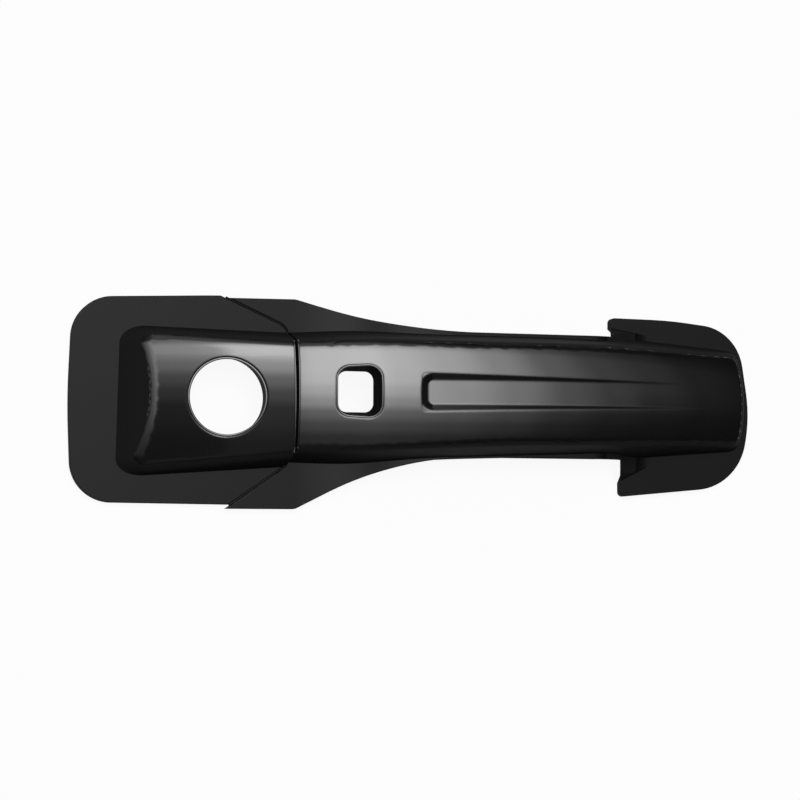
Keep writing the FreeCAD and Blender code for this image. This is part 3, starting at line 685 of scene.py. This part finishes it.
@dataclass
class SeamShadeStrip:
    """Thin black sheet closing the seam between the shells from below: painted shade in the gap.
    """

    corners: tuple[tuple[float, float], ...] = ((-71.4, 36.635), (-49.1, 26.6), (-49.1, -21.5),
                                                (-69.9, -35.852))
    radii: tuple[float, ...] = (5.5, 4.5)
    step: float = 0.35
    half_width: float = 0.27
    flange_drop: float = 0.3
    faded_drop: float = 0.02
    fade_span: tuple[float, float] = (30.0, 34.0)
    raised_drop: float = 1.3
    depth: float = 1.3
    crest: tuple[float, float] = (1.0, 17.8)
    crown_r: float = 70.0
    feet: tuple[float, float] = (24.6, -21.6)
    wall_rise: float = 3.49
    softness: float = 1.2

    def build(self, material: bpy.types.Material) -> None:
        """Builds the shade sheet along the seam line.

        Args:
            material: The flange's finish.
        """
        path = rounded_path(np.array(self.corners), list(self.radii), self.step)
        along = np.gradient(path, axis=0)
        along /= np.linalg.norm(along, axis=1)[:, None]
        across = np.column_stack([along[:, 1], -along[:, 0]]) * self.half_width
        top = self._top(path[:, 1])
        foot = top - self.depth
        rings = np.stack([np.column_stack([path + across, top]),
                          np.column_stack([path - across, top]),
                          np.column_stack([path - across, foot]),
                          np.column_stack([path + across, foot])], axis=1) * MM
        # Painted shade: a black sheet under the seam gap stands in for the shade inside it.
        piece = bpy.data.objects.new("seam_shade_strip", swept_mesh("seam_shade_strip", rings))
        piece.data.materials.append(material)
        bpy.context.scene.collection.objects.link(piece)
        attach(piece, "root")
        LOG.info("seam_shade_strip: %d faces", len(piece.data.polygons))

    def _top(self, y: np.ndarray) -> np.ndarray:
        """Height of the sheet's top: below the flange, or below the raised form's section.

        The section is the lowest of a crown that falls with the square of the distance from
        its crest and two walls that rise evenly from their feet, blended by a soft minimum.

        Args:
            y: Places across the cover.

        Returns:
            Heights at these places.
        """
        crown = self.crest[1] - (y - self.crest[0]) ** 2 / (2.0 * self.crown_r)
        upper = FLANGE_TOP / MM + (self.feet[0] - y) * self.wall_rise
        lower = FLANGE_TOP / MM + (y - self.feet[1]) * self.wall_rise
        terms = np.exp(-np.stack([crown, upper, lower]) / self.softness)
        section = -self.softness * np.log(terms.sum(axis=0)) - self.raised_drop
        drop = np.interp(y, self.fade_span, (self.flange_drop, self.faded_drop))
        return np.maximum(section, FLANGE_TOP / MM - drop)


@dataclass(frozen=True)
class RimBead:
    """Thin rounded lip that follows a line in plan over a crown."""

    name: str
    corners: tuple[tuple[float, float], ...]
    radii: tuple[float, ...]
    crown: Crown
    closed: bool = True
    flare: tuple[float, float, float, float, float] | None = None
    half_width: float = 0.38
    half_height: float = 0.16
    step: float = 0.4
    around: int = 12
    end_run: float = 1.5
    end_drop: float = 0.45

    def line(self) -> np.ndarray:
        """Runs the lip's middle line over the crown.

        Over a flared hole the line moves outwards with its height: each offset from the
        hole's middle grows by the flare, times the height over the flare's depth.

        Returns:
            Points in millimetres, one row each.
        """
        path = rounded_path(np.array(self.corners), list(self.radii), self.step)
        if self.closed:
            path = path[:-1]
        if self.flare:
            middle_x, middle_y, grow_x, grow_y, depth = self.flare
            base = self.crown.height(np.array([middle_x * MM]), np.array([middle_y * MM]))
            rise = (self.crown.height(*(path.T * MM)) - base) / MM / depth
            middle = np.array([middle_x, middle_y])
            path = middle + (path - middle) * (1.0 + rise[:, None] * np.array([grow_x, grow_y]))
        height = self.crown.height(*(path.T * MM)) / MM
        if not self.closed:
            run = np.arange(len(path)) * self.step
            from_end = np.minimum(run, run[::-1])
            height -= self.end_drop * np.clip(1.0 - from_end / self.end_run, 0.0, 1.0) ** 2
        return np.column_stack([path, height])

    def build(self, material: bpy.types.Material) -> None:
        """Builds the lip: an oval ring carried along the line, its long axis flat on the crown.

        Args:
            material: The lip's finish.
        """
        line = self.line()
        if self.closed:
            along = np.roll(line, -1, axis=0) - np.roll(line, 1, axis=0)
        else:
            along = np.gradient(line, axis=0)
        along /= np.linalg.norm(along, axis=1)[:, None]
        side = np.column_stack([along[:, 1], -along[:, 0], np.zeros(len(along))])
        side /= np.linalg.norm(side, axis=1)[:, None]
        above = np.cross(side, along)
        turn = np.linspace(0.0, 2.0 * math.pi, self.around, endpoint=False)
        rings = (line[:, None] + self.half_width * np.cos(turn)[None, :, None] * side[:, None]
                 + self.half_height * np.sin(turn)[None, :, None] * above[:, None]) * MM
        piece = bpy.data.objects.new(self.name, swept_mesh(self.name, rings, self.closed))
        piece.data.shade_smooth()
        piece.data.materials.append(material)
        bpy.context.scene.collection.objects.link(piece)
        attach(piece, "root")
        LOG.info("%s: %d faces", self.name, len(piece.data.polygons))


def square_loop(middle: tuple[float, float],
                half: tuple[float, float]) -> tuple[tuple[float, float], ...]:
    """Corners of a rectangle in plan, started and ended half-way along its lower side.

    Args:
        middle: The rectangle's middle.
        half: Its half length and half height.

    Returns:
        Six corners, the first and last of which are one place.
    """
    x, y = middle
    reach_x, reach_y = half
    start = (x, y - reach_y)
    return (start, (x + reach_x, y - reach_y), (x + reach_x, y + reach_y),
            (x - reach_x, y + reach_y), (x - reach_x, y - reach_y), start)


@dataclass
class Rims:
    """Lips round the keyhole and the button window and along both sides of the seam."""

    finish: GlossShellFinish = GlossShellFinish(edge_radius=0.02 * MM, roughness=0.14)
    keyhole: tuple[float, float, float] = (-73.0, 1.0, 13.3)
    roundness: float = 0.9999
    window: tuple[float, float] = (-28.4, 3.35)
    window_half: tuple[float, float] = (7.9, 9.15)
    window_r: float = 4.7
    window_flare: tuple[float, float, float] = (0.21, 0.24, 5.3)
    seam_x: float = -49.1
    seam_offset: float = 0.6
    seam_span: tuple[float, float] = (-16.5, 21.0)

    def build(self) -> None:
        """Builds the four lips."""
        material = self.finish.build("gloss_black_rim")
        x, y, radius = self.keyhole
        RimBead("keyhole_rim", square_loop((x, y), (radius, radius)),
                (self.roundness * radius,) * 4, CAP_CROWN).build(material)
        RimBead("window_rim", square_loop(self.window, self.window_half), (self.window_r,) * 4,
                BAR_CROWN, flare=self.window + self.window_flare, half_width=0.32,
                half_height=0.14).build(material)
        low, high = self.seam_span
        for name, shift, crown in (("cap_seam_rim", -self.seam_offset, CAP_CROWN),
                                   ("handle_seam_rim", self.seam_offset, BAR_CROWN)):
            line = ((self.seam_x + shift, low), (self.seam_x + shift, high))
            RimBead(name, line, (), crown, closed=False, half_width=0.26,
                    half_height=0.14).build(material)


@dataclass
class PanelEnd:
    """Rounded inner corners of the sunken panel, as a thin patch let into the handle's top."""

    span_x: tuple[float, float] = (-9.0, 1.0)
    span_y: tuple[float, float] = (-5.6, 12.3)
    left: float = -4.0
    low: float = -0.9
    high: float = 7.6
    right: float = 112.0
    depth: float = 1.5
    slope_deg: float = 24.0
    turn: float = 0.009
    corner_r: float = 2.4
    step: float = 0.2
    sink: float = 0.045
    thickness: float = 0.8
    softness: float = 0.05

    def _heights(self, x: np.ndarray, y: np.ndarray) -> np.ndarray:
        """Height of the patch: the lower of the crown and the panel's sloping side.

        The side rises evenly with the distance from the floor's outline, a rectangle with
        rounded corners. Both forms are blended by a soft minimum, and the whole is sunk so
        far that only the filled corners stand over the moulding.

        Args:
            x: Places along the cover.
            y: Places across it.

        Returns:
            Heights at these places.
        """
        shift = self.turn * (x - self.left)
        spine = BAR_CROWN.height(x * MM, np.full_like(x, BAR_CROWN.peak[1])) / MM
        floor = spine - self.depth * (self.right - x) / (self.right - self.left)
        middle = 0.5 * (self.low + self.high) + shift
        half = 0.5 * (self.high - self.low)
        out_x = np.maximum(self.left + self.corner_r - x, 0.0)
        out_y = np.maximum(np.abs(y - middle) - half + self.corner_r, 0.0)
        outside = np.maximum(np.hypot(out_x, out_y) - self.corner_r, 0.0)
        side = floor + outside * math.tan(math.radians(self.slope_deg))
        crown = BAR_CROWN.height(x * MM, y * MM) / MM
        soft = self.softness
        lower = -soft * np.log(np.exp((floor - crown) / soft) + np.exp((floor - side) / soft))
        return floor + lower - self.sink

    def build(self, material: bpy.types.Material) -> None:
        """Builds the patch as a closed grid with a flat-sided skirt.

        Args:
            material: The handle's gloss finish.
        """
        along = np.arange(self.span_x[0], self.span_x[1] + 0.5 * self.step, self.step)
        across = np.arange(self.span_y[0], self.span_y[1] + 0.5 * self.step, self.step)
        x, y = (plane.ravel() for plane in np.meshgrid(along, across, indexing="ij"))
        top = self._heights(x, y)
        points = np.vstack([np.column_stack([x, y, top]),
                            np.column_stack([x, y, top - self.thickness])]) * MM
        index = np.arange(len(x)).reshape(len(along), len(across))
        cells = np.stack([index[:-1, :-1], index[1:, :-1], index[1:, 1:], index[:-1, 1:]], axis=-1)
        cells = cells.reshape(-1, 4)
        edge = np.concatenate([index[:-1, 0], index[-1, :-1], index[:0:-1, -1], index[0, :0:-1]])
        following = np.roll(edge, -1)
        under = len(x)
        skirt = np.stack([following, edge, edge + under, following + under], axis=-1)
        faces = np.vstack([cells, cells[:, ::-1] + under, skirt]).tolist()
        mesh = bpy.data.meshes.new("panel_end")
        mesh.from_pydata(points.tolist(), [], faces)
        mesh.shade_smooth()
        mesh.set_sharp_from_angle(angle=math.radians(60.0))
        mesh.materials.append(material)
        piece = bpy.data.objects.new("panel_end", mesh)
        bpy.context.scene.collection.objects.link(piece)
        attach(piece, "root")
        LOG.info("panel_end: %d faces", len(mesh.polygons))


@dataclass
class TapeStrips:
    """Foam tapes and their liners, under the mouldings."""

    foam: FoamFinish = FoamFinish()
    liner: LinerFinish = LinerFinish()

    def dress(self, nodes: dict[str, bpy.types.Object]) -> None:
        """Gives every tape and liner its finish.

        Args:
            nodes: The cover's rigid pieces by name.
        """
        foam = self.foam.build("tape_foam")
        film = self.liner.build("liner_film")
        for name, node in nodes.items():
            if name.endswith("_tape"):
                give_material(node, foam)
            elif name.endswith("_liner"):
                give_material(node, film)
        LOG.info("tapes and liners dressed")


def give_material(piece: bpy.types.Object, material: bpy.types.Material) -> None:
    """Puts one material in every slot of a piece.

    Args:
        piece: Object with a mesh.
        material: The finish.
    """
    for slot in piece.material_slots:
        slot.material = material
    if not piece.material_slots:
        piece.data.materials.append(material)


def main() -> None:
    """Builds the looks of the cover, piece by piece."""
    logging.basicConfig(level=logging.INFO, format="%(name)s: %(message)s")
    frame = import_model()
    PhotoCamera().build()
    Studio().build()
    materials = CoverShells().build(frame["nodes"])
    SeamShadeStrip().build(materials[Skin.SATIN])
    Rims().build()
    PanelEnd().build(materials[Skin.GLOSS])
    TapeStrips().dress(frame["nodes"])
    bpy.context.scene.view_settings.view_transform = "Standard"


if __name__ == "__main__":
    main()
